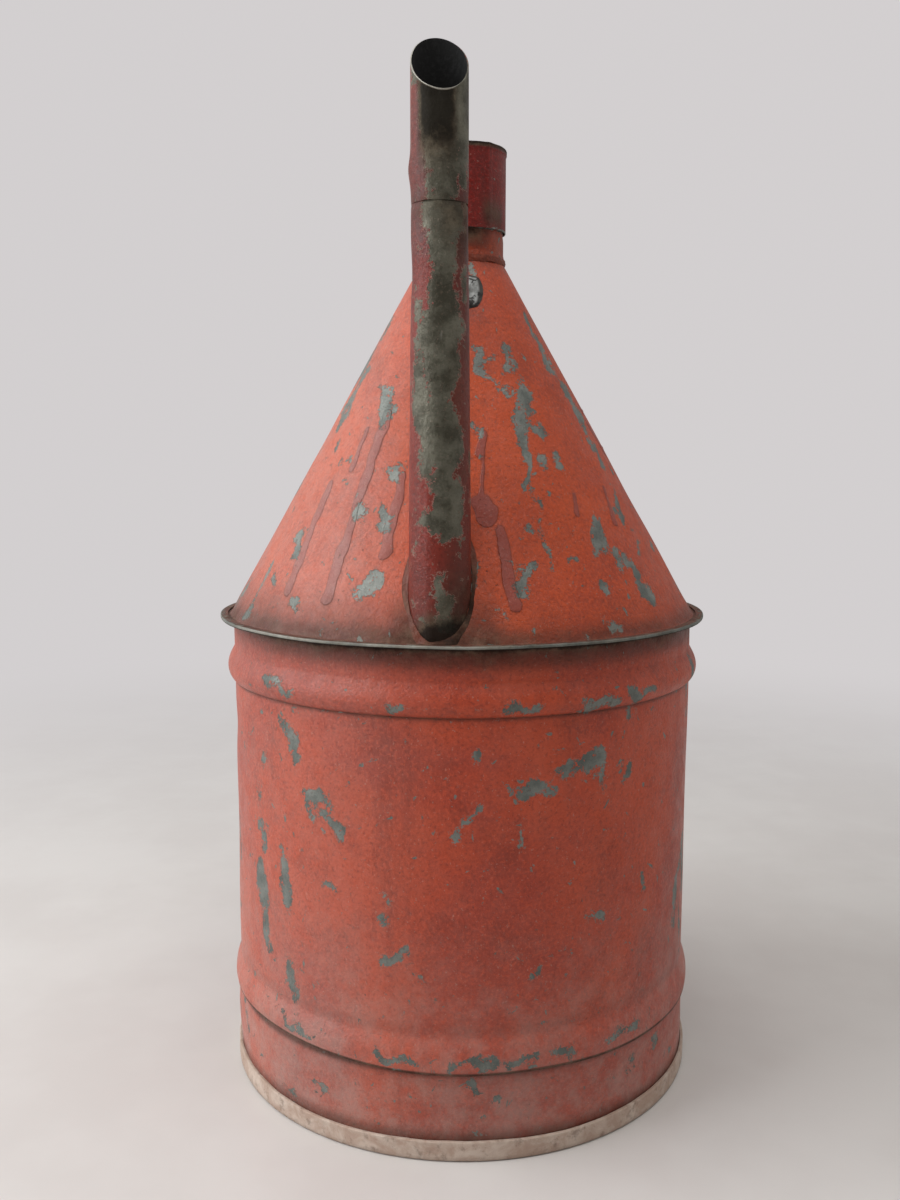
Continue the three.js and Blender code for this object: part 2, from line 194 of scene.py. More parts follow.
def hump(value, centre, spread):
    """1 at the centre, fading smoothly to 0 on both sides."""
    return np.exp(-(((value - centre) / spread) ** 2))


def wobble(angle, z, size, waves=9):
    """A gentle unevenness of rolled sheet that closes on itself round the can."""
    total = np.zeros(angle.shape)
    for _ in range(waves):
        turns, length = rng.integers(1, 12), rng.uniform(60, 300)
        phase_a, phase_z = rng.uniform(0, 2 * math.pi, 2)
        total += np.cos(turns * angle + phase_a) * np.cos(2 * math.pi * z / length + phase_z)
    return total * size / math.sqrt(waves)


def dents(angle, z, r, places):
    """Round hollows: each place is (angle, height, spread, depth)."""
    total = np.zeros(angle.shape)
    for a0, z0, spread, depth in places:
        d2 = ((past(angle, a0) * r) ** 2 + (z - z0) ** 2) / spread**2
        total -= depth * np.exp(-d2)
    return total


def random_dents(count, z_low, z_high, depth):
    return [
        (rng.uniform(-180, 180), rng.uniform(z_low, z_high), rng.uniform(10, 32), rng.uniform(0.3, 1) * depth)
        for _ in range(count)
    ]


def lap(angle, at, width, r, height=SHEET):
    """The step of a lap seam: one sheet's edge lies over the other and fades away past it."""
    across = past(angle, at) * r
    return height * smooth_step(across, -0.5, 0.5) * (1 - smooth_step(across, width, width * 2.2))


# ---- Lines and meshes ----


def rounded(points, radii, steps=5):
    """A line with its corners turned into arcs; radii is one number or one per inner corner."""
    points = [Vector((x, y, 0)) for x, y in points]
    if not isinstance(radii, (list, tuple)):
        radii = [radii] * (len(points) - 2)
    line = [points[0]]
    for corner, before, after, r in zip(points[1:-1], points, points[2:], radii):
        back, on = (before - corner).normalized(), (after - corner).normalized()
        half = back.angle(on) / 2
        centre = corner + (back + on).normalized() * (r / math.sin(half))
        start = corner + back * (r / math.tan(half)) - centre
        end = corner + on * (r / math.tan(half)) - centre
        turn = math.atan2(start.cross(end).z, start.dot(end))
        for k in range(steps + 1):
            line.append(Euler((0, 0, turn * k / steps)).to_matrix() @ start + centre)
    line.append(points[-1])
    return [(p.x, p.y) for p in line]


def resampled(line, spacing):
    """The line with points added so that none are farther apart than the spacing."""
    out = [line[0]]
    for (x0, y0), (x1, y1) in zip(line, line[1:]):
        pieces = max(1, math.ceil(math.hypot(x1 - x0, y1 - y0) / spacing))
        for k in range(1, pieces + 1):
            out.append((x0 + (x1 - x0) * k / pieces, y0 + (y1 - y0) * k / pieces))
    return out


def left_side(line, thickness):
    """The line moved to its left by the thickness of the sheet."""
    p = np.array(line, float)
    along = np.diff(p, axis=0)
    along /= np.linalg.norm(along, axis=1, keepdims=True)
    normal = np.column_stack([-along[:, 1], along[:, 0]])
    before, after = np.vstack([normal[:1], normal]), np.vstack([normal, normal[-1:]])
    middle = before + after
    middle /= np.linalg.norm(middle, axis=1, keepdims=True)
    return p + middle * (thickness / np.maximum(0.5, (middle * after).sum(1)))[:, None]


def mesh_from_rings(name, rings, capped=False):
    """A closed mesh of rings of points in millimetres: each ring's points join on round, and ring to ring.
    Open rows are capped at both ends; otherwise the last ring joins the first."""
    count, size, _ = rings.shape
    index = np.arange(count * size).reshape(count, size)
    if capped:
        near, far = index[:-1], index[1:]
    else:
        near, far = index, np.roll(index, -1, axis=0)
    quads = np.stack([near, far, np.roll(far, -1, axis=1), np.roll(near, -1, axis=1)], axis=-1).reshape(-1, 4)
    faces = quads.tolist()
    if capped:
        faces += [index[0][::-1].tolist(), index[-1].tolist()]
    mesh = bpy.data.meshes.new(name)
    mesh.from_pydata((rings.reshape(-1, 3) * MM).tolist(), [], faces)
    bm = bmesh.new()
    bm.from_mesh(mesh)
    bmesh.ops.recalc_face_normals(bm, faces=bm.faces)
    bm.to_mesh(mesh)
    bm.free()
    mesh.shade_smooth()
    mesh.set_sharp_from_angle(angle=math.radians(38))
    piece = bpy.data.objects.new(name, mesh)
    bpy.context.scene.collection.objects.link(piece)
    return piece


def paint(piece, bare, run=-12.0, grime_and_shade=0.0):
    """Writes the three numbers on the piece's vertices: worn patches, paint runs, and grime together with
    painted shade.
    """
    count = len(piece.data.vertices)
    for key, values in (("bare", bare), ("run", run), ("grime_and_shade", grime_and_shade)):
        layer = piece.data.attributes.new(key, "FLOAT", "POINT")
        flat = np.broadcast_to(np.asarray(values, float).ravel(), count)
        layer.data.foreach_set("value", flat.astype(np.float32))


def finish_piece(piece, node, body, material):
    piece.data.materials.append(material)
    if any(face.material_index for face in piece.data.polygons):
        piece.data.materials.append(INSIDE_SHADE)
    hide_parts(node)
    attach(piece, body)
    return piece


def spun(section, columns):
    """Angles, radii and heights of a closed section of (radius, height) carried round the axis."""
    turn = np.linspace(0, 2 * math.pi, columns, endpoint=False)
    angle = np.repeat(turn[:, None], len(section), axis=1)
    r = np.repeat(section[None, :, 0], columns, axis=0)
    z = np.repeat(section[None, :, 1], columns, axis=0)
    return angle, r, z


def round_axis(angle, r, z, centre_y=0.0):
    """Rings of points about an upright axis, with angles counted from -Y towards +X."""
    return np.stack([r * np.sin(angle), centre_y - r * np.cos(angle), z], axis=-1)


class Turned:
    """A sheet turned about the can's axis: points by angle and along the sheet, first outside then inside."""

    def __init__(self, line, thickness, columns, spacing, inner_spacing=None):
        outer = np.array(resampled(line, spacing))
        inner = left_side(resampled(line, inner_spacing or spacing * 2), thickness)[::-1]
        section = np.vstack([outer, inner])
        self.angle, self.r, self.z = spun(section, columns)
        self.outside = np.repeat((np.arange(len(section)) < len(outer))[None, :], columns, axis=0)

    def rings(self, push=0.0, lift=0.0):
        return round_axis(self.angle, self.r + push, self.z + lift)


def swell(bead, z_from, wall, steps=22):
    """Points up a wall over a bead: tightly creased under its ridge and easing out above it."""
    ridge, below, above, rise = bead
    line = []
    for k in range(steps + 1):
        z = z_from + (ridge + above - z_from) * k / steps
        reach, fullness = (below, 0.7) if z < ridge else (above, 1.4)
        line.append((wall + rise * max(0.0, 1 - ((z - ridge) / reach) ** 2) ** fullness, z))
    return line


# ---- Materials ----


class Shader:
    """Builds the nodes of a material or a world: methods return an output socket for the next to use."""

    def __init__(self, owner, output="ShaderNodeOutputMaterial", place="Object"):
        self.owner = owner
        owner.use_nodes = True
        self.tree = owner.node_tree
        self.tree.nodes.clear()
        self.output = self.tree.nodes.new(output)
        self.place = self.tree.nodes.new("ShaderNodeTexCoord").outputs[place]

    def node(self, kind, inputs, **settings):
        made = self.tree.nodes.new(kind)
        for key, value in settings.items():
            setattr(made, key, value)
        for key, value in inputs.items():
            if isinstance(value, bpy.types.NodeSocket):
                self.tree.links.new(value, made.inputs[key])
            else:
                made.inputs[key].default_value = value
        return made

    def stretched(self, scale, shift=(0, 0, 0)):
        inputs = {"Vector": self.place, "Scale": scale, "Location": shift}
        return self.node("ShaderNodeMapping", inputs).outputs[0]

    def noise(self, scale, detail=4, roughness=0.55, distortion=0.0, vector=None):
        inputs = {
            "Vector": vector or self.place,
            "Scale": scale,
            "Detail": detail,
            "Roughness": roughness,
            "Distortion": distortion,
        }
        return self.node("ShaderNodeTexNoise", inputs).outputs["Fac"]

    def cell_borders(self, scale):
        inputs = {"Vector": self.place, "Scale": scale}
        return self.node("ShaderNodeTexVoronoi", inputs, feature="DISTANCE_TO_EDGE").outputs["Distance"]

    def axes(self):
        return self.node("ShaderNodeSeparateXYZ", {0: self.place}).outputs

    def wear(self, key):
        return self.node("ShaderNodeAttribute", {}, attribute_name=key).outputs["Fac"]

    def math(self, operation, a, b=0.0, c=0.0):
        inputs = {0: a, 1: b, 2: c} if operation == "MULTIPLY_ADD" else {0: a, 1: b}
        return self.node("ShaderNodeMath", inputs, operation=operation).outputs[0]

    def fade(self, value, start, end, first=0.0, last=1.0):
        inputs = {"Value": value, "From Min": start, "From Max": end, "To Min": first, "To Max": last}
        return self.node("ShaderNodeMapRange", inputs, interpolation_type="SMOOTHSTEP").outputs[0]

    def mix(self, amount, a, b):
        made = self.node("ShaderNodeMix", {"Factor": amount}, data_type="RGBA")
        for slot, value in ((6, a), (7, b)):
            if isinstance(value, bpy.types.NodeSocket):
                self.tree.links.new(value, made.inputs[slot])
            else:
                made.inputs[slot].default_value = (*value, 1.0)
        return made.outputs[2]

    def bump(self, height, distance, normal=None):
        inputs = {"Height": height, "Distance": distance, "Strength": 1.0}
        if normal:
            inputs["Normal"] = normal
        return self.node("ShaderNodeBump", inputs).outputs[0]

    def emission(self, colour, strength=1.0):
        return self.node("ShaderNodeEmission", {"Color": colour, "Strength": strength}).outputs[0]

    def seen_by_camera(self):
        return self.node("ShaderNodeLightPath", {}).outputs["Is Camera Ray"]

    def blend(self, amount, a, b):
        return self.node("ShaderNodeMixShader", {0: amount, 1: a, 2: b}).outputs[0]

    def principled(self, **inputs):
        named = {key.replace("_", " "): value for key, value in inputs.items()}
        return self.node("ShaderNodeBsdfPrincipled", named).outputs[0]

    def finish(self, shader):
        self.tree.links.new(shader, self.output.inputs["Surface"])
        return self.owner


ZINC = ((0.110, 0.126, 0.114), (0.225, 0.238, 0.216))  # weathered bare sheet, darker and lighter
BRIGHT_EDGE_AND_HIGHLIGHT = (0.44, 0.42, 0.37)  # metal rubbed bright on a sheet's edge, brighter on the lit side as a painted highlight
RUBBED_AND_LIT_BARE = 20.0  # the "bare" value that asks for bright metal, partly a painted highlight
PAINTED_SHEEN = (0.46, 0.37, 0.34)  # a painted sheen: the window's pale reflection on the side towards the light
RUN_RED = (0.235, 0.052, 0.043)
# Colours of dirt, also used for painted shade; the blackest stands for the deep shade under the rim, at the
# lip and inside the spout.
SOIL, SOIL_DUSTY, BLACK_SOIL_AND_SHADE = (0.040, 0.027, 0.017), (0.135, 0.105, 0.070), (0.013, 0.010, 0.007)
STAIN_AND_SHADE = (0.055, 0.015, 0.008)  # paint darkened where dirt lies on it, and painted shade under the rim, at the lip and in creases
DUST = (0.42, 0.29, 0.25)
CRUMB = (0.52, 0.33, 0.26)  # pale broken edges of paint


def painted_sheet(
    name, paint_a, paint_b, zinc=ZINC, ragged=5.0, chips=0.66, grime_bias=0.0, dust=0.0, lit_sheen=0.0,
    crumbs=0.2,
):
    """Old brushed paint over galvanised sheet: chips down to the metal, darker runs, grime and specks, with
    painted light: a pale sheen on the side towards the light, shade where the vertices ask for it, and bright
    edge highlights.
    """
    s = Shader(bpy.data.materials.new(name))
    broad = s.noise(7, 4, 0.6, 0.4)
    fine = s.noise(90, 6, 0.65)
    grain = s.noise(520, 4, 0.7)
    streaks = s.noise(60, 4, 0.6, vector=s.stretched((1, 1, 0.12)))
    edge = s.noise(170, 6, 0.72, 0.6)
    crumble = s.noise(780, 3, 0.6)

    # Paint: two shades that drift across the sheet, brushed streaks and a fine unevenness.
    darker, lighter = tuple(0.58 * v for v in paint_b), tuple(1.25 * v + 0.004 for v in paint_a)
    tone = s.mix(s.fade(broad, 0.40, 0.60), paint_a, paint_b)
    tone = s.mix(s.fade(streaks, 0.50, 0.78, 0, 0.42), tone, darker)
    tone = s.mix(s.fade(s.noise(27, 8, 0.78), 0.50, 0.66, 0, 0.50), tone, darker)
    tone = s.mix(s.fade(grain, 0.50, 0.62, 0, 0.45), tone, lighter)
    tone = s.mix(s.fade(grain, 0.46, 0.34, 0, 0.60), tone, darker)

    # Paint runs, with a soft darker rim.
    run_depth = s.math("MULTIPLY_ADD", s.math("SUBTRACT", edge, 0.5), 1.6, s.wear("run"))
    run = s.fade(run_depth, -0.15, 0.35)
    rim = s.math("MULTIPLY", s.fade(run_depth, -1.1, -0.1), s.fade(run_depth, 0.9, 0.1))
    tone = s.mix(s.math("MULTIPLY", run, 0.72), tone, RUN_RED)
    tone = s.mix(s.math("MULTIPLY", rim, 0.26), tone, (0.09, 0.022, 0.016))

    # Specks: pale nicks and dark pits.
    pale = s.fade(s.noise(640, 2, 0.5), 0.67, 0.73)
    dark = s.fade(s.noise(430, 3, 0.6), 0.30, 0.25)
    flakes = s.fade(s.noise(310, 5, 0.7), 0.64, 0.70)
    tone = s.mix(s.math("MULTIPLY", s.math("MAXIMUM", pale, flakes), 0.32), tone, CRUMB)
    tone = s.mix(s.math("MULTIPLY", dark, 0.80), tone, (0.045, 0.016, 0.012))

    # Dust: a thin film, thicker towards the foot.
    fall = s.fade(s.axes()["Z"], 0.16, 0.01, dust, 8 * dust)
    film = s.math("MULTIPLY", fall, s.fade(s.noise(42, 7, 0.75), 0.36, 0.66, 0.25, 1.0))
    tone = s.mix(film, tone, DUST)
    # Painted sheen: a pale film on the -X side, towards the window, standing in for its reflection, broken up
    # by noise.
    sheen_side = s.fade(s.axes()["X"], 0.01, -0.06, 0, lit_sheen)
    sheen_breakup = s.fade(s.noise(130, 7, 0.75), 0.30, 0.62, 0.5, 1.0)
    tone = s.mix(s.math("MULTIPLY", sheen_side, sheen_breakup), tone, PAINTED_SHEEN)

    # Darker red-brown where the vertices ask for grime: dirt, and painted shade under the rim, at the lip and
    # in creases.
    tone = s.mix(s.fade(s.wear("grime_and_shade"), 0.05, 0.60, 0, 0.72), tone, STAIN_AND_SHADE)

    # Bare metal: the worn strokes with ragged edges and islands of paint, and small chips anywhere.
    ragged_edge = s.math("MULTIPLY", s.math("SUBTRACT", edge, 0.5), ragged * 2)
    ragged_edge = s.math("MULTIPLY_ADD", s.math("SUBTRACT", crumble, 0.5), ragged * 1.3, ragged_edge)
    island = s.fade(s.noise(260, 4, 0.65), 0.58, 0.64, 0.4, -2.4)
    stroke_depth = s.math("ADD", s.math("ADD", s.wear("bare"), ragged_edge), island)
    chip_noise = s.math("MULTIPLY", s.math("SUBTRACT", s.noise(150, 6, 0.62, 0.5), chips), 40.0)
    depth = s.math("MAXIMUM", stroke_depth, chip_noise)
    bare = s.fade(depth, -0.25, 0.35)
    lip = s.math("MULTIPLY", s.fade(depth, -1.1, -0.2), s.math("SUBTRACT", 1.0, bare))
    metal = s.mix(s.fade(s.noise(75, 5, 0.7), 0.35, 0.65), zinc[0], zinc[1])
    metal = s.mix(s.fade(s.noise(300, 4, 0.7), 0.52, 0.70, 0, 0.55), metal, (0.055, 0.048, 0.036))
    metal = s.mix(s.fade(crumble, 0.56, 0.70, 0, 0.12), metal, CRUMB)
    # Bright metal where the bare value is 12 or more: rubbed edges, and a painted highlight on the lit side
    # of the rim and the spout's lip.
    metal = s.mix(s.fade(s.wear("bare"), 12, 15), metal, BRIGHT_EDGE_AND_HIGHLIGHT)
    tone = s.mix(s.math("MULTIPLY", lip, crumbs), tone, CRUMB)
    tone = s.mix(bare, tone, metal)

    # Grime and painted shade gather where the vertices say, broken up by noise, and are blackest where they
    # are thickest.
    patchy = s.math("MULTIPLY", s.math("SUBTRACT", s.noise(48, 7, 0.75), 0.5), 1.2)
    dirt_and_shade = s.math("ADD", s.wear("grime_and_shade"), patchy)
    dirt_and_shade_cover = s.fade(s.math("ADD", dirt_and_shade, grime_bias), 0.25, 1.15, 0, 0.93)
    soil_and_shade = s.mix(s.fade(s.noise(85, 6, 0.7), 0.40, 0.62), SOIL, SOIL_DUSTY)
    soil_and_shade = s.mix(s.fade(dirt_and_shade, 0.72, 1.15), soil_and_shade, BLACK_SOIL_AND_SHADE)
    tone = s.mix(dirt_and_shade_cover, tone, soil_and_shade)

    rough = s.fade(fine, 0.3, 0.7, 0.33, 0.52)
    rough = s.math("MULTIPLY_ADD", bare, 0.06, rough)
    rough = s.math("MULTIPLY_ADD", dirt_and_shade_cover, 0.22, rough)
    height = s.math("MULTIPLY_ADD", bare, -1.0, s.math("MULTIPLY", run, 1.4))
    height = s.math("MULTIPLY_ADD", lip, 0.35, height)
    height = s.math("MULTIPLY_ADD", pale, 0.5, s.math("MULTIPLY_ADD", dark, -0.8, height))
    normal = s.bump(s.math("ADD", fine, s.math("MULTIPLY", streaks, 0.5)), 0.0006)
    normal = s.bump(grain, 0.00045, normal)
    normal = s.bump(height, 0.00024, normal)
    metallic = s.math("MULTIPLY", bare, s.fade(dirt_and_shade_cover, 0.0, 0.8, 0.40, 0.05))
    return s.finish(s.principled(
        Base_Color=tone, Roughness=rough, Metallic=metallic, Normal=normal,
        Specular_IOR_Level=s.math("MULTIPLY_ADD", dirt_and_shade_cover, -0.28, 0.36),
    ))


def dirty_tin(name, shade, light, dirt_and_shade, spangle=60, metallic=0.5, roughness=0.5, cracks=0.0):
    """Bare tinned or galvanised metal with blotches, scratches and dirt, and perhaps dark cracks."""
    s = Shader(bpy.data.materials.new(name))
    blotch = s.noise(spangle, 5, 0.68, 0.5)
    fine = s.noise(420, 4, 0.7)
    tone = s.mix(s.fade(blotch, 0.36, 0.64), shade, light)
    tone = s.mix(s.fade(s.noise(140, 5, 0.7), 0.52, 0.70, 0, 0.6), tone, dirt_and_shade)
    tone = s.mix(s.math("MULTIPLY", s.wear("grime_and_shade"), s.fade(blotch, 0.2, 0.6, 0.55, 1.0)), tone, dirt_and_shade)
    wavering = s.math("MULTIPLY_ADD", s.math("SUBTRACT", blotch, 0.5), 0.9, s.cell_borders(150))
    crack = s.fade(wavering, 0.02, 0.0, 0, cracks)
    tone = s.mix(crack, tone, (0.012, 0.010, 0.008))
    cover = s.fade(s.noise(26, 5, 0.7), 0.45, 0.62)
    rough = s.fade(fine, 0.3, 0.7, roughness - 0.08, roughness + 0.18)
    metal = s.math("MULTIPLY", s.math("SUBTRACT", 1.0, s.math("MULTIPLY", cover, 0.7)), metallic)
    normal = s.bump(blotch, 0.0005)
    normal = s.bump(s.math("SUBTRACT", fine, s.math("MULTIPLY", crack, 4)), 0.00015, normal)
    return s.finish(s.principled(Base_Color=tone, Roughness=rough, Metallic=metal, Normal=normal))


BODY_PAINT = painted_sheet("body_paint", (0.47, 0.062, 0.020), (0.36, 0.046, 0.022), dust=0.07, lit_sheen=0.12)
CONE_PAINT = painted_sheet("cone_paint", (0.53, 0.068, 0.009), (0.42, 0.050, 0.011), dust=0.025, lit_sheen=0.26)
FITTING_PAINT = painted_sheet(
    "fitting_paint", (0.33, 0.046, 0.020), (0.25, 0.034, 0.020), chips=0.63, grime_bias=0.10,
)
CAP_PAINT = painted_sheet(
    "cap_paint", (0.26, 0.014, 0.008), (0.16, 0.010, 0.006), chips=0.70, grime_bias=0.10,
)
# The spout's zinc is darker: partly its own weathering, partly a painted reflection of the dark room in front
# of it.
SPOUT_ZINC_AND_DARK_REFLECTION = ((0.052, 0.048, 0.032), (0.165, 0.158, 0.120))
SPOUT_PAINT = painted_sheet(
    "spout_paint", (0.20, 0.022, 0.012), (0.12, 0.014, 0.009), SPOUT_ZINC_AND_DARK_REFLECTION, 6.0, 0.64, 0.08, crumbs=0.55,
)
# Near black: painted shade inside the spout.
INSIDE_SHADE = dirty_tin("inside_shade", (0.005, 0.0045, 0.004), (0.009, 0.008, 0.007), (0.003, 0.003, 0.003), 60, 0.0, 0.95)
HOOP_TIN = dirty_tin(
    "hoop_tin", (0.45, 0.32, 0.25), (0.60, 0.49, 0.41), (0.17, 0.110, 0.080), 70, 0.08, 0.68,
)
BOTTOM_TIN = dirty_tin(
    "bottom_tin", (0.22, 0.21, 0.18), (0.34, 0.33, 0.30), (0.08, 0.06, 0.04), 35, 0.45, 0.55,
)
SOLDER_TIN = dirty_tin(
    "solder_tin", (0.20, 0.21, 0.20), (0.46, 0.48, 0.47), (0.045, 0.040, 0.034), 190, 0.30, 0.5, 0.9,
)


# ---- Body, foot and bottom ----


def make_body():
    flange_under = RIM_TOP - 3 * SHEET - 0.25
    edge = [
        (BODY_R, 274), (BODY_R, flange_under), (RIM_R, flange_under), (RIM_R, RIM_TOP),
        (RIM_R - 4.5, RIM_TOP),
    ]
    line = swell(LOWER_BEAD, LIP_Z, BODY_R) + swell(UPPER_BEAD, UPPER_BEAD[0] - UPPER_BEAD[1], BODY_R)
    line += rounded(edge, [1.0, 0.7, 0.7], 3)
    t = Turned(line, SHEET, 400, 2.4)
    dented = dents(t.angle, t.z, BODY_R, random_dents(16, 90, 235, 0.9))
    shape = wobble(t.angle, t.z, 0.28) + dented + lap(t.angle, 152, 9, BODY_R)
    rim = smooth_step(t.z, 279, 282)
    sag = wobble(t.angle, t.z * 0, 0.22) * rim
    near_lip = 1 - smooth_step(t.z, LIP_Z, LIP_Z + 8)
    opened = 0.6 * near_lip * smooth_step(np.cos(t.angle - 0.15), 0.55, 0.95)
    lifted = 2.6 * smooth_step(np.cos(t.angle + 0.85), 0.75, 1.0)
    uneven_lip = near_lip * (lifted + wobble(t.angle, t.z * 0, 0.3))
    piece = mesh_from_rings("body_sheet", t.rings(shape * (1 - 0.6 * rim) + opened, sag + uneven_lip))

    strokes = BODY_BARE + scattered(46, 62, 300, 70, 262, 40, 4.2) + scattered(14, -180, 180, 76, 240, 8, 2.0)
    bare = inside_strokes(t.angle, t.z, BODY_R, 1.0, strokes)
    bead_wear = 2.2 * hump(t.z, 54, 2.4) + 1.5 * hump(t.z, 251, 2.2)
    bare = np.maximum(bare, -4.2 + bead_wear * (0.6 + 0.4 * np.cos(3 * t.angle)))
    flange = t.r > BODY_R + 3.5 + 4 * (t.z < RIM_TOP - 10)
    bare = np.where(flange, -0.8, bare)
    edge_line = (t.r > RIM_R - 0.4) & (t.z > RIM_TOP - 1.6)
    # Bright metal along the rim's edge: partly rubbed, partly a painted highlight, strongest towards the lit
    # left front.
    bare_band = 11.5 + 2.2 * smooth_step(np.cos(t.angle + 0.5) + 0.3 * np.cos(9 * t.angle), 0.2, 1.0)
    bare = np.where(edge_line, bare_band, bare)
    bare = np.where(t.outside, bare, 9.0)
    above = smooth_step(t.z, RIM_TOP - 1.2, RIM_TOP - 0.2)
    # Painted shadow under the flange: a dark band below the rim, deeper to the right and front, away from the
    # light.
    shaded = 0.5 + 0.5 * smooth_step(np.cos(t.angle - 0.5), -0.4, 0.6)
    grime_and_shade = shaded * (0.52 * smooth_step(t.z, 262, 277) + 0.45 * smooth_step(t.z, 277, 281)) * (1 - rim)
    # The rim itself is dirty, and its underside is darker still as painted shade.
    grime_and_shade += rim * np.where(edge_line, 0.55, 1.2 - 0.50 * above)
    # A little darker above the lower bead, and a painted shadow line along the lip at the foot of the sheet.
    grime_and_shade += 0.20 * hump(t.z, 74, 5) + 0.9 * (1 - smooth_step(t.z, LIP_Z + 0.4, LIP_Z + 2.2))
    # Painted shadow in the crease under the upper bead.
    grime_and_shade += 0.55 * hump(t.z, 244.4, 1.5)
    paint(piece, bare, grime_and_shade=np.where(t.outside, grime_and_shade, 0.4))
    return finish_piece(piece, "body_shell", "can", BODY_PAINT)


def make_foot_band():
    line = [(BAND_R, low("foot_band")), (BAND_R, BAND_TOP)]
    t = Turned(line, SHEET, 320, 2.2)
    shape = wobble(t.angle, t.z, 0.22) * smooth_step(t.z, 10, 30) * (1 - smooth_step(t.z, 46, 52))
    shape += dents(t.angle, t.z, BAND_R, [(-74, 34, 17, -1.5), (40, 26, 15, 0.6), (160, 30, 14, 0.8)])
    piece = mesh_from_rings("foot_band_sheet", t.rings(shape))
    strokes = BAND_BARE + scattered(18, 62, 300, 20, 50, 10, 3.0) + scattered(8, -180, 180, 18, 48, 5, 1.6)
    bare = np.where(t.outside, inside_strokes(t.angle, t.z, BAND_R, 1.0, strokes), 9.0)
    grime_and_shade = 0.45 * (1 - smooth_step(t.z, HOOP_TOP, HOOP_TOP + 12))
    # Painted shade on the band just under the body's lip.
    grime_and_shade += 0.55 * smooth_step(t.z, LIP_Z - 5, LIP_Z - 1)
    paint(piece, bare, grime_and_shade=grime_and_shade)
    return finish_piece(piece, "foot_band", "can", BODY_PAINT)


def make_foot_hoop():
    outer, web, leg = HOOP_R, 1.2, 0.3
    slot = BAND_R - 2 * SHEET - 0.6
    corners = [
        (slot - web, 9.0), (slot - web, 0.0), (outer, 0.0), (outer, HOOP_TOP), (BAND_R + leg, HOOP_TOP),
    ]
    outside = resampled(rounded(corners, [1.6, 1.8, 0.8], 4), 1.6)
    inside = [(BAND_R + leg, web + 0.8), (BAND_R, web), (slot, web), (slot, 9.0)]
    angle, r, z = spun(np.array(outside + resampled(inside, 2.5)), 360)
    above = smooth_step(z, 3, 12) * (r > BAND_R)
    r = r + (wobble(angle, z, 0.25) + wobble(angle * 3, z, 0.12)) * above
    z = z + (wobble(angle, z * 0, 0.45) + wobble(angle * 4, z * 0, 0.16)) * above
    piece = mesh_from_rings("foot_hoop_tin", round_axis(angle, r, z))
    paint(piece, 0.0, grime_and_shade=0.35 * (1 - smooth_step(z, 0, 4)) + 0.35 * hump(z, 12.6, 1.2))
    return finish_piece(piece, "foot_hoop", "can", HOOP_TIN)


def make_bottom():
    reach, top = BAND_R - SHEET - 0.3, high("bottom_plate")
    line = [(reach, low("bottom_plate")), (reach, top), (0.05, top)]
    t = Turned(rounded(line, 2.0, 4), SHEET, 160, 5.0)
    pressed = 0.5 * hump(t.r, 100, 5) + 0.5 * hump(t.r, 60, 5)
    piece = mesh_from_rings("bottom_tin", t.rings(0.0, -pressed))
    paint(piece, 9.0, grime_and_shade=0.25)
    return finish_piece(piece, "bottom_plate", "can", BOTTOM_TIN)


# ---- Shoulder and neck ----


def make_cone():
    corners = [
        (RIM_R - 1.1, CONE_FOOT), (CONE_R, CONE_FOOT), (COLLAR_R, COLLAR_FOOT), (COLLAR_R, COLLAR_TOP),
    ]
    t = Turned(rounded(corners, [2.2, 3.0], 5), SHEET, 400, 2.3)
    stretch = math.hypot(1, 1 / CONE_RISE)
    flank = smooth_step(t.z, CONE_FOOT + 1, CONE_FOOT + 12) * (1 - smooth_step(t.z, 470, 490))
    places = random_dents(12, 300, 440, 0.8)
    dented = dents(t.angle, t.z, t.r, places)
    shape = (wobble(t.angle, t.z, 0.32) + dented + lap(t.angle, 168, 7, t.r)) * flank
    runs = CONE_RUNS + scattered(9, 70, 290, 330, 410, 60, 3.4)
    run = np.where(t.outside, inside_strokes(t.angle, t.z, t.r, stretch, runs, 0.9, True), -12.0)
    ends = [(a1, z1 + 1.5, a1, z1, 0.8 * half_width) for _, _, a1, z1, half_width in runs]
    end = inside_strokes(t.angle, t.z, t.r, stretch, ends, 0.0)
    raised = 0.35 * smooth_step(run, -0.8, 0.8) + np.where(t.outside, 0.55 * smooth_step(end, -0.6, 1.4), 0)
    piece = mesh_from_rings("shoulder_sheet", t.rings(shape + raised))

    strokes = CONE_BARE + scattered(40, 74, 306, 300, 470, 30, 3.8)
    strokes += scattered(16, -180, 180, 295, 460, 6, 1.8)
    bare = np.where(t.outside, inside_strokes(t.angle, t.z, t.r, stretch, strokes), 9.0)
    flange = (t.r > CONE_R) & (t.z < CONE_FOOT + 1.5)
    bare = np.where(flange & t.outside, -2.5, bare)
    by_spout = smooth_step(np.cos(t.angle - 0.03), 0.97, 0.992)
    left = smooth_step(np.cos(t.angle + 0.9), 0.2, 0.9)
    grime_and_shade = 0.20 * (1 - smooth_step(t.z, 285, 294)) + 0.26 * by_spout * (1 - smooth_step(t.z, 288, 318))
    grime_and_shade += (0.26 + 0.16 * left) * (1 - smooth_step(t.z, 284, 326)) + 0.40 * smooth_step(t.z, 482, 496)
    grime_and_shade = np.where(flange, 0.78, grime_and_shade)
    paint(piece, bare, run, np.where(t.outside, grime_and_shade, 0.5))
    return finish_piece(piece, "shoulder_cone", "can", CONE_PAINT)


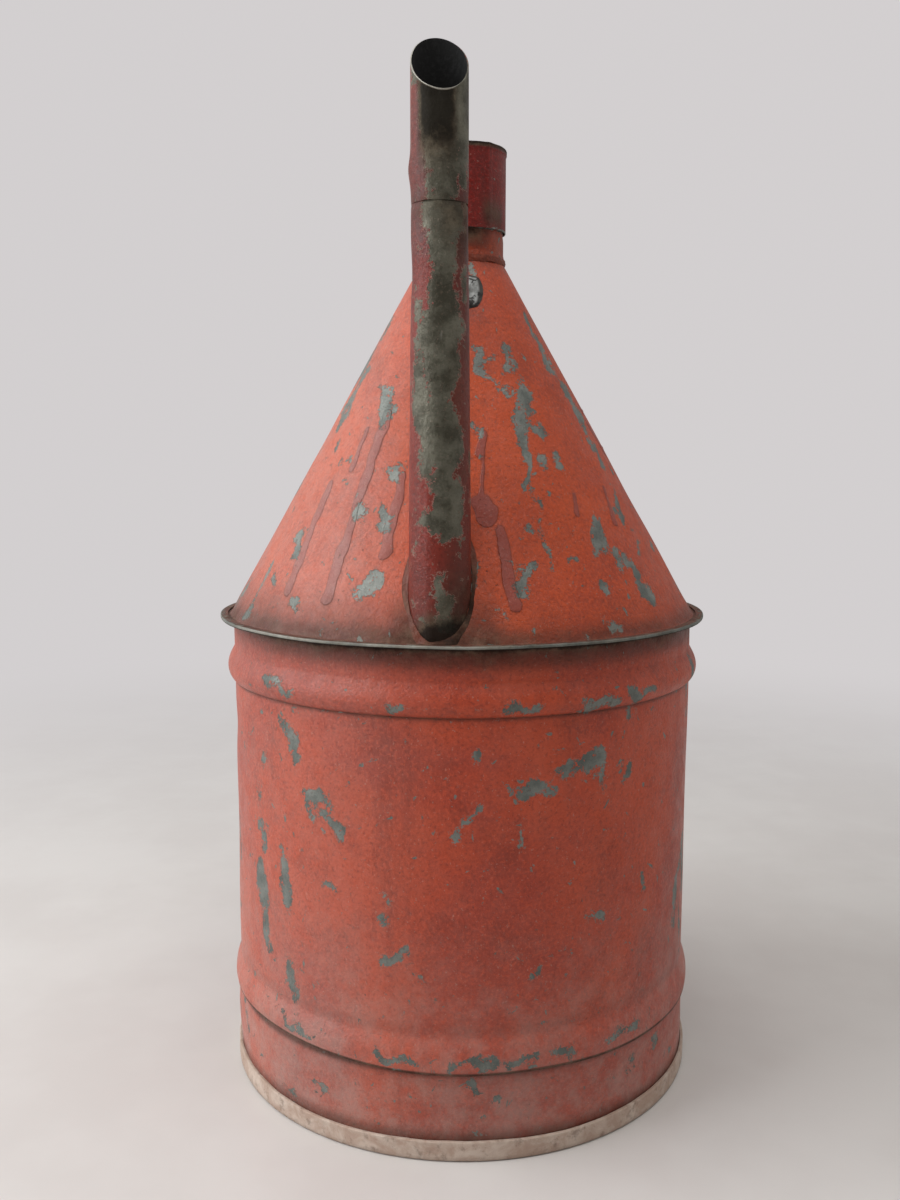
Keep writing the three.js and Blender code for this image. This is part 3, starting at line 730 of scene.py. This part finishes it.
def make_neck():
    line = [(NECK_R + 0.8, NECK_LOW), (NECK_R, NECK_LOW + 4), (NECK_R, NECK_TOP)]
    t = Turned(rounded(line, 3.0, 4), SHEET, 128, 1.5)
    shape = wobble(t.angle, t.z, 0.08) + lap(t.angle, 95, 4, NECK_R, 0.5) * (1 - smooth_step(t.z, 508, 512))
    piece = mesh_from_rings("neck_sheet", t.rings(shape))
    bare_band = np.where(t.z > CAP_LOW - 0.5, -0.5, -7.0)
    stained = smooth_step(np.cos(t.angle + 0.1), 0.5, 0.95) * smooth_step(t.z, 499, 509)
    paint(piece, np.where(t.outside, bare_band, 9.0), grime_and_shade=0.36 + 0.55 * stained)
    return finish_piece(piece, "filler_neck", "can", CONE_PAINT)


def lumpy(piece, size, scale, seed=0.0, keep=None):
    """Pushes a small mesh's points about by smooth noise, as solder and thick paint lie."""
    mesh = piece.data
    mesh.update()
    normals = [v.normal.copy() for v in mesh.vertices]
    for v, n in zip(mesh.vertices, normals):
        at = v.co * (scale / MM) + Vector((seed, seed, seed))
        share = 1.0 if keep is None else keep(v.co / MM)
        v.co += n * (size * MM * share * (noise.noise(at) + 0.5 * noise.noise(at * 2.3)))
    mesh.update()


def make_neck_solder():
    inner = NECK_R + 1.15
    bottom, top = COLLAR_FOOT - 4, COLLAR_FOOT
    line = [
        (inner, cone_height(inner) + 0.4), (cone_radius(bottom) + 0.2, bottom),
        (inner + 0.4, top - 2), (inner, top),
    ]
    section = np.array(resampled(line + [line[0]], 0.6)[:-1])
    piece = mesh_from_rings("neck_solder_bead", round_axis(*spun(section, 180)))
    lumpy(piece, 0.6, 0.25, 3.0)
    paint(piece, -3.5, grime_and_shade=0.50)
    return finish_piece(piece, "neck_solder", "can", CONE_PAINT)


# ---- Cap ----


def make_cap_sleeve():
    corners = [
        (CAP_R, CAP_LOW), (CAP_R, CAP_TOP - 4.2), (CAP_R + 0.5, CAP_TOP - 3.2), (CAP_R + 0.5, CAP_TOP),
        (CAP_R - 3.5, CAP_TOP),
    ]
    t = Turned(rounded(corners, [1.0, 0.6, 1.1], 4), SHEET, 160, 1.3)
    seam = lap(t.angle, 38, 2.2, CAP_R, 0.45)
    dented = dents(t.angle, t.z, CAP_R, [(60, 530, 7, 0.5), (-130, 540, 9, 0.6)])
    shape = wobble(t.angle, t.z, 0.10) + seam + dented
    upper = smooth_step(t.z, CAP_TOP - 4, CAP_TOP - 1)
    piece = mesh_from_rings("cap_sleeve_sheet", t.rings(shape, wobble(t.angle * 2, t.z * 0, 0.12) * upper))
    lower_edge = hump(t.z, CAP_LOW, 1.6) * smooth_step(np.cos(t.angle - 1.25), 0.75, 0.98)
    bare = np.where(t.outside, -7.0 + 9.0 * lower_edge, 9.0)
    smudge = hump(t.z, 521, 9) * smooth_step(np.cos(t.angle - 0.9), 0.9, 0.99)
    grime_and_shade = 0.10 + 0.95 * upper + 0.45 * smudge
    paint(piece, bare, grime_and_shade=grime_and_shade)
    return finish_piece(piece, "cap_sleeve", "cap", CAP_PAINT)


def make_cap_lid():
    edge_r, top = CAP_R - 1.1, high("cap_lid")
    line = [(edge_r, top - 0.8), (edge_r, top), (0.02, top)]
    t = Turned(rounded(line, 0.3, 3), SHEET, 128, 0.9)
    ring = -0.55 * hump(t.r, 16, 1.6) + 0.35 * (1 - smooth_step(t.r, 4, 14))
    worked = (ring + 0.12 * np.cos(3 * t.angle + 1) * hump(t.r, 10, 5)) * smooth_step(edge_r - t.r, 3.5, 6)
    piece = mesh_from_rings("cap_lid_sheet", t.rings(0.0, worked))
    paint(piece, -6.0, grime_and_shade=0.25 + 0.45 * hump(t.r, 21, 2.5) + 0.3 * hump(t.r, 16, 1.6))
    return finish_piece(piece, "cap_lid", "cap", CAP_PAINT)


# ---- Spout ----


def spout_foot_height(angle, r):
    """Where the spout's wall at an angle round its own axis meets the cone."""
    reach = np.hypot(r * np.sin(angle), SPOUT_Y - r * np.cos(angle))
    return np.maximum(cone_height(reach) + 0.45, RIM_TOP + 0.3)


def upright_tube(columns, heights, bottom, top, radius_at, thickness=SHEET):
    """Angles, radii and heights of a tube whose ends may slant: up its outside, then down its inside."""
    turn = np.linspace(0, 2 * math.pi, columns, endpoint=False)[:, None]
    share = np.concatenate([np.linspace(0, 1, heights), np.linspace(1, 0, heights)])[None, :]
    outside = np.repeat((np.arange(2 * heights) < heights)[None, :], columns, axis=0)
    angle = np.repeat(turn, 2 * heights, axis=1)
    z = bottom(turn) + (top(turn) - bottom(turn)) * share
    r = radius_at(angle, z) - np.where(outside, 0, thickness)
    return angle, r, z, outside


def darken_inside(piece, outside):
    """Gives the faces on a tube's inside the near-black material that paints the shade inside the spout."""
    flags = outside.ravel()
    for face in piece.data.polygons:
        if not any(flags[v] for v in face.vertices):
            face.material_index = 1


def make_spout_tube():
    shoulder, plug_top = TIP_LOW - 0.4, high("spout_tube")

    def radius_at(angle, z):
        share = np.clip((z - RIM_TOP) / (shoulder - RIM_TOP), 0, 1)
        taper = SPOUT_FOOT_R + (SPOUT_NECK_R - SPOUT_FOOT_R) * share
        plug = taper - (SPOUT_NECK_R - 13.5) * smooth_step(z, shoulder, shoulder + 0.5)
        seam = lap(angle, -22, 3.0, 15, 0.22)
        return plug + seam * (1 - smooth_step(z, shoulder - 6, shoulder))

    def foot(angle):
        return spout_foot_height(angle, SPOUT_FOOT_R)

    angle, r, z, outside = upright_tube(112, 120, foot, lambda a: plug_top + 0 * a, radius_at)
    exposed = 1 - smooth_step(z, shoulder - 6, shoulder)
    places = [(-70, 470, 12, 0.7), (30, 420, 14, 0.4), (10, 340, 10, 0.4)]
    uneven = wobble(angle, z, 0.16) + dents(angle, z, 15, places)
    piece = mesh_from_rings("spout_tube_sheet", round_axis(angle, r + uneven * exposed, z, SPOUT_Y))
    bare = np.where(outside, inside_strokes(angle, z, 15.5, 1.0, SPOUT_BARE, 1.3), 9.0)
    # Grime under the tip and round the foot; the foot's front right is darkest, dirt and painted shade
    # together. The band down the right, away from the light, is painted shade, and so is the dark inside.
    front_right = smooth_step(np.cos(angle - 0.5), 0.1, 0.8)
    grime_and_shade = 0.40 * smooth_step(z, 470, 505) + 1.25 * (1 - smooth_step(z, 285, 303)) * front_right
    grime_and_shade += 0.30 * (1 - smooth_step(z, 285, 345)) + 0.34 * smooth_step(np.cos(angle - 0.9), 0.5, 1.0)
    paint(piece, bare, grime_and_shade=np.where(outside, grime_and_shade, 1.2))
    return finish_piece(piece, "spout_tube", "can", SPOUT_PAINT)


def make_spout_tip():
    def mouth(angle):
        return TIP_HIGH - MOUTH_FALL * (1 + np.cos(angle - MOUTH_TURN)) / 2

    def radius_at(angle, z):
        worn = lap(angle, -30, 3.5, TIP_R, 0.5)
        bulge = -dents(angle, z, TIP_R, [(-88, 521, 6, 1.1)])
        pinch = -0.3 * smooth_step(z, TIP_LOW + 12, TIP_LOW) - 0.1 * smooth_step(z, TIP_LOW + 0.8, TIP_LOW)
        oval = 0.2 * np.cos(2 * angle + 0.5) * smooth_step(z, 520, 580)
        return TIP_R - 0.1 + worn + bulge + pinch + oval

    angle, r, z, outside = upright_tube(112, 46, lambda a: TIP_LOW + 0 * a, mouth, radius_at)
    r = r + wobble(angle, z, 0.08)
    piece = mesh_from_rings("spout_tip_sheet", round_axis(angle, r, z, SPOUT_Y))
    bare = np.where(outside, inside_strokes(angle, z, TIP_R, 1.0, TIP_BARE, 1.2), 9.0)
    at_lip = z > mouth(angle) - 0.1
    # Bright metal round the mouth's lip: partly rubbed, partly a painted highlight, strongest on the left
    # towards the light.
    bare = np.where(at_lip, RUBBED_AND_LIT_BARE * smooth_step(np.cos(angle + 0.9), -0.9, 0.3), bare)
    # A dark band down the front of the tip: a stain and painted shade. The inside is painted near black, as
    # shade; the lip is kept clean.
    central = smooth_step(np.cos(angle - 0.05), 0.62, 0.95)
    grime_and_shade = 0.22 + 1.05 * central * smooth_step(z, 508, 540) + 0.20 * smooth_step(z, 512, 504)
    paint(piece, bare, grime_and_shade=np.where(at_lip, 0.1, np.where(outside, grime_and_shade, 1.6)))
    darken_inside(piece, outside)
    return finish_piece(piece, "spout_tip", "can", SPOUT_PAINT)


def make_spout_solder():
    """The fillet round the spout's foot: a band that hugs the tube above and thins out over the cone."""
    tube, steps = SPOUT_FOOT_R + 0.2, 4
    rings = []
    for a in np.linspace(0, 2 * math.pi, 144, endpoint=False):
        foot = float(spout_foot_height(a, tube)) - 0.2
        up = foot + 1.6 + 0.6 * math.sin(5 * a)
        spread = 2.4 + 0.9 * math.sin(3 * a + 1) + 0.5 * math.sin(7 * a)
        out_foot = float(spout_foot_height(a, tube + spread)) - 0.3
        middle = (foot + up) / 2 + 0.45 * (out_foot - foot)
        loop = [(tube, foot), (tube + spread, out_foot), (tube + 0.45 * spread, middle), (tube, up)]
        fine = []
        for (r0, z0), (r1, z1) in zip(loop, loop[1:] + loop[:1]):
            fine += [(r0 + (r1 - r0) * k / steps, z0 + (z1 - z0) * k / steps) for k in range(steps)]
        rings.append([(r * math.sin(a), SPOUT_Y - r * math.cos(a), z) for r, z in fine])
    piece = mesh_from_rings("spout_solder_bead", np.array(rings))
    lumpy(piece, 0.4, 0.3, 8.0)
    turn = np.repeat(np.linspace(0, 2 * math.pi, 144, endpoint=False), len(rings[0]))
    # Grime round the spout's foot, darker on its right side: dirt and painted shade.
    paint(piece, -2.5, grime_and_shade=0.58 + 0.5 * smooth_step(np.cos(turn - 0.8), 0.3, 0.9))
    return finish_piece(piece, "spout_solder", "can", CONE_PAINT)


# ---- Strips: the brace and the handle ----


def strip_rings(line, width_at, section):
    """Carries a cross-section of (across, out) points along a line in the YZ plane."""
    p = np.array(line, float)
    along = np.gradient(p, axis=0)
    along /= np.linalg.norm(along, axis=1, keepdims=True)
    out = np.column_stack([-along[:, 1], along[:, 0]])
    share = np.concatenate([[0], np.cumsum(np.linalg.norm(np.diff(p, axis=0), axis=1))])
    rings = []
    for point, normal, run in zip(p, out, share):
        scale = width_at(run, share[-1])
        rings.append([(x * scale, point[0] + normal[0] * o, point[1] + normal[1] * o) for x, o in section])
    return np.array(rings)


def round_ends(half_width, corner):
    """Full width along a strip, drawing in to round corners over the last few millimetres."""

    def width_at(run, length):
        edge = min(run, length - run)
        if edge >= corner:
            return 1.0
        drop = corner - math.sqrt(max(0.0, corner**2 - (corner - edge) ** 2))
        return (half_width - drop) / half_width

    return width_at


def flat_section(half_width, thickness, steps=14):
    top = [(-half_width + 2 * half_width * k / steps, thickness) for k in range(steps + 1)]
    edge = thickness / 2
    right = [(half_width + edge * math.sin(q), edge + edge * math.cos(q)) for q in (0.8, 1.57, 2.34)]
    bottom = [(-x, 0.0) for x, _ in top]
    left = [(-x, o) for x, o in reversed(right)]
    return top + right + bottom + left


def hemmed_section(half_width, thickness, roll, steps=10):
    """A strip whose two edges are rolled over outwards into round hems."""
    inner = half_width - roll
    top = [(-inner + 2 * inner * k / steps, thickness) for k in range(steps + 1)]
    turns = [math.radians(d) for d in range(220, -31, -25)]
    hem = [(inner + roll / 2 * (1 + math.cos(q)), roll / 2 * (1 + math.sin(q))) for q in turns]
    bottom = [(inner - 2 * inner * k / steps, 0.0) for k in range(steps + 1)]
    return top + hem + bottom + [(-x, o) for x, o in reversed(hem)]


def make_brace():
    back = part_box("spout_brace")[0].y / MM
    shelf, tab_top, foot_top = low("spout_brace"), high("spout_brace") - 0.2, 479
    corners = [
        (back, tab_top), (back, shelf), (-cone_radius(shelf) - 0.69, shelf),
        (-cone_radius(foot_top) - 0.69, foot_top),
    ]
    line = resampled(rounded(corners, 4.0, 5), 1.5)
    rings = strip_rings(line, round_ends(7, 3), flat_section(6.4, 1.4))
    piece = mesh_from_rings("brace_strip", rings, capped=True)
    lumpy(piece, 0.25, 0.05, 1.0)
    paint(piece, -5.0, grime_and_shade=0.25)
    return finish_piece(piece, "spout_brace", "can", FITTING_PAINT)


def make_brace_solder():
    """A lumpy pad over the cone round the brace's foot, brighter and cracked where its paint has gone."""
    lowest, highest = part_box("brace_solder")
    z0, z1, half = lowest.z / MM - 1, highest.z / MM + 1, highest.x / MM + 1
    across, up, middle = 40, 28, (z0 + z1) / 2
    rings, border = [], []
    for j in range(up + 1):
        row_top, row_under = [], []
        for i in range(across + 1):
            u, v = 2 * i / across - 1, 2 * j / up - 1
            squash = math.sqrt(max(0.0, 1 - 0.35 * v * v)), math.sqrt(max(0.0, 1 - 0.35 * u * u))
            x, z = u * squash[0] * half, middle + v * squash[1] * (z1 - z0) / 2
            body = max(0.0, 1 - max(abs(u), abs(v)) ** 4)
            lump = 1.5 * body + 0.7 * body * noise.noise(Vector((x * 0.28, z * 0.28, 4.0)))
            for row, offset in ((row_top, 0.35 + lump), (row_under, 0.25)):
                r = cone_radius(z) + offset
                a = x / r
                row.append((r * math.sin(a), -r * math.cos(a), z + offset * 0.4))
        rings.append(row_top + row_under[::-1])
        outline = [max(abs(2 * i / across - 1), abs(2 * j / up - 1)) for i in range(across + 1)]
        border.append(outline + outline[::-1])
    piece = mesh_from_rings("brace_solder_pad", np.array(rings), capped=True)
    paint(piece, 1.0, grime_and_shade=0.15 + 1.2 * smooth_step(np.array(border), 0.78, 0.92))
    return finish_piece(piece, "brace_solder", "can", SOLDER_TIN)


def strap_line():
    """The strap's inner face, from its upper foot out over the bow and down to its lower foot."""
    reach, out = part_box("handle_strap")[1].y / MM, 0.34
    upper_top, upper_low, lower_top, lower_low = 463, 440, 315, 290
    corners = [
        (cone_radius(upper_top) + out, upper_top), (cone_radius(upper_low) + out, upper_low),
        (reach - 38, upper_low + 5.5), (reach - 1.6, upper_low + 3),
        (cone_radius(lower_top) + out, lower_top), (cone_radius(lower_low) + out, lower_low),
    ]
    return resampled(rounded(corners, [9, 20, 24, 26], 9), 1.8)


def make_handle():
    rings = strip_rings(strap_line(), round_ends(13, 6), hemmed_section(13, 1.6, 2.6))
    piece = mesh_from_rings("handle_strip", rings, capped=True)
    count = len(piece.data.vertices)
    places = np.empty(count * 3)
    piece.data.vertices.foreach_get("co", places)
    x, y, z = places.reshape(-1, 3).T / MM
    grip = smooth_step(y, 120, 134) * smooth_step(z, 330, 360)
    paint(piece, -5.0 + 4.2 * grip * np.exp(-((np.abs(x) - 11) ** 2) / 8), grime_and_shade=0.18 + 0.25 * grip)
    return finish_piece(piece, "handle_strap", "can", FITTING_PAINT)


def make_rivet(node, spin):
    lowest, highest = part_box(node)
    centre = (lowest + highest) / 2 / MM
    normal = Vector((0, CONE_RISE, 1)).normalized()
    side = normal.cross(Vector((1, 0, 0)))
    surface = Vector((0, cone_radius(centre.z), centre.z))
    base = surface + normal * (centre - surface).dot(normal)
    profile = [(0.01, -4.4), (3.2, -4.4), (3.4, -3.4), (2.0, -3.2), (2.0, 1.1), (4.1, 1.2), (4.25, 1.7)]
    profile += [(4.2 * math.cos(q), 1.7 + 2.1 * math.sin(q)) for q in np.linspace(0.2, 1.5, 9)]
    profile.append((0.01, 3.8))
    rings = []
    for a in np.linspace(0, 2 * math.pi, 40, endpoint=False):
        hammered = 1 + 0.035 * math.cos(3 * a + spin) + 0.02 * math.cos(7 * a + 2 * spin)
        outwards = (side * math.cos(a) + Vector((1, 0, 0)) * math.sin(a)) * hammered
        rings.append([tuple(base + normal * h + outwards * r) for r, h in profile])
    piece = mesh_from_rings(node + "_head", np.array(rings))
    paint(piece, -4.0, grime_and_shade=0.35)
    return finish_piece(piece, node, "can", FITTING_PAINT)


# ---- Stage, light and camera ----

BACKDROP = (0.65, 0.625, 0.63)


def make_floor():
    """A pale floor that takes on the backdrop's tone with distance, so that no horizon shows."""
    s = Shader(bpy.data.materials.new("pale_floor"))
    tone = s.mix(s.fade(s.noise(6, 4, 0.6), 0.35, 0.65), (0.63, 0.60, 0.58), (0.67, 0.645, 0.625))
    normal = s.bump(s.noise(160, 3, 0.6), 0.00006)
    rough = s.fade(s.noise(30, 3), 0.3, 0.7, 0.34, 0.46)
    near = s.principled(Base_Color=tone, Roughness=rough, Normal=normal)
    distance = s.node("ShaderNodeVectorMath", {0: s.place}, operation="LENGTH").outputs["Value"]
    amount = s.math("MULTIPLY", s.fade(distance, 0.30, 1.5), s.seen_by_camera())
    mesh = bpy.data.meshes.new("floor")
    reach = 12.0
    corners = [(-reach, -reach, 0), (reach, -reach, 0), (reach, reach, 0), (-reach, reach, 0)]
    mesh.from_pydata(corners, [], [(0, 1, 2, 3)])
    floor = bpy.data.objects.new("floor", mesh)
    floor.data.materials.append(s.finish(s.blend(amount, near, s.emission((*BACKDROP, 1.0)))))
    bpy.context.scene.collection.objects.link(floor)


def make_world():
    """Soft room light, strong from the left, some from above and the right, little from the camera's side."""
    s = Shader(bpy.data.worlds.new("room"), "ShaderNodeOutputWorld", "Generated")
    axes = s.axes()
    left = s.math("MAXIMUM", s.math("MULTIPLY", axes["X"], -0.86), 0.0)
    right = s.math("MAXIMUM", s.math("MULTIPLY", axes["X"], 0.40), 0.0)
    above = s.math("MAXIMUM", s.math("MULTIPLY", axes["Z"], 0.34), 0.0)
    light = s.math("ADD", s.math("ADD", s.math("ADD", left, right), above), 0.12)
    light = s.math("MULTIPLY", light, s.fade(axes["Y"], -0.9, 0.1, 0.42, 1.0))
    lit = s.node("ShaderNodeBackground", {"Color": (1.0, 0.985, 0.97, 1), "Strength": light}).outputs[0]
    seen = s.node("ShaderNodeBackground", {"Color": (*BACKDROP, 1)}).outputs[0]
    bpy.context.scene.world = s.finish(s.blend(s.seen_by_camera(), lit, seen))


def make_light(name, place, target, size, power, colour):
    data = bpy.data.lights.new(name, "AREA")
    data.shape, data.size, data.size_y = "RECTANGLE", size[0], size[1]
    data.energy, data.color = power, colour
    lamp = bpy.data.objects.new(name, data)
    lamp.location = place
    lamp.rotation_euler = (Vector(target) - Vector(place)).to_track_quat("-Z", "Y").to_euler()
    bpy.context.scene.collection.objects.link(lamp)


def make_camera():
    data = bpy.data.cameras.new("camera")
    data.sensor_width = 36
    data.lens = 34.28
    data.clip_start = 0.01
    camera = bpy.data.objects.new("camera", data)
    camera.location = (0.0632, -0.7165, 0.3804)
    camera.rotation_euler = (math.pi / 2 - 0.127, 0.0, 0.098)
    bpy.context.scene.collection.objects.link(camera)
    bpy.context.scene.camera = camera


make_body()
make_foot_band()
make_foot_hoop()
make_bottom()
make_cone()
make_neck()
make_neck_solder()
make_cap_sleeve()
make_cap_lid()
make_spout_tube()
make_spout_tip()
make_spout_solder()
make_brace()
make_brace_solder()
make_handle()
for number, rivet_node in enumerate(("rivet_upper_1", "rivet_upper_2", "rivet_lower_1", "rivet_lower_2")):
    make_rivet(rivet_node, number * 1.3)

make_floor()
make_world()
make_camera()
make_light("window", (-1.5, -0.55, 1.15), (0, 0, 0.3), (1.4, 1.6), 27, (0.96, 0.98, 1.0))
make_light("ceiling", (0.2, -0.6, 1.9), (0, 0, 0.2), (1.2, 1.0), 10, (1.0, 0.97, 0.94))

bpy.context.scene.view_settings.view_transform = "Standard"
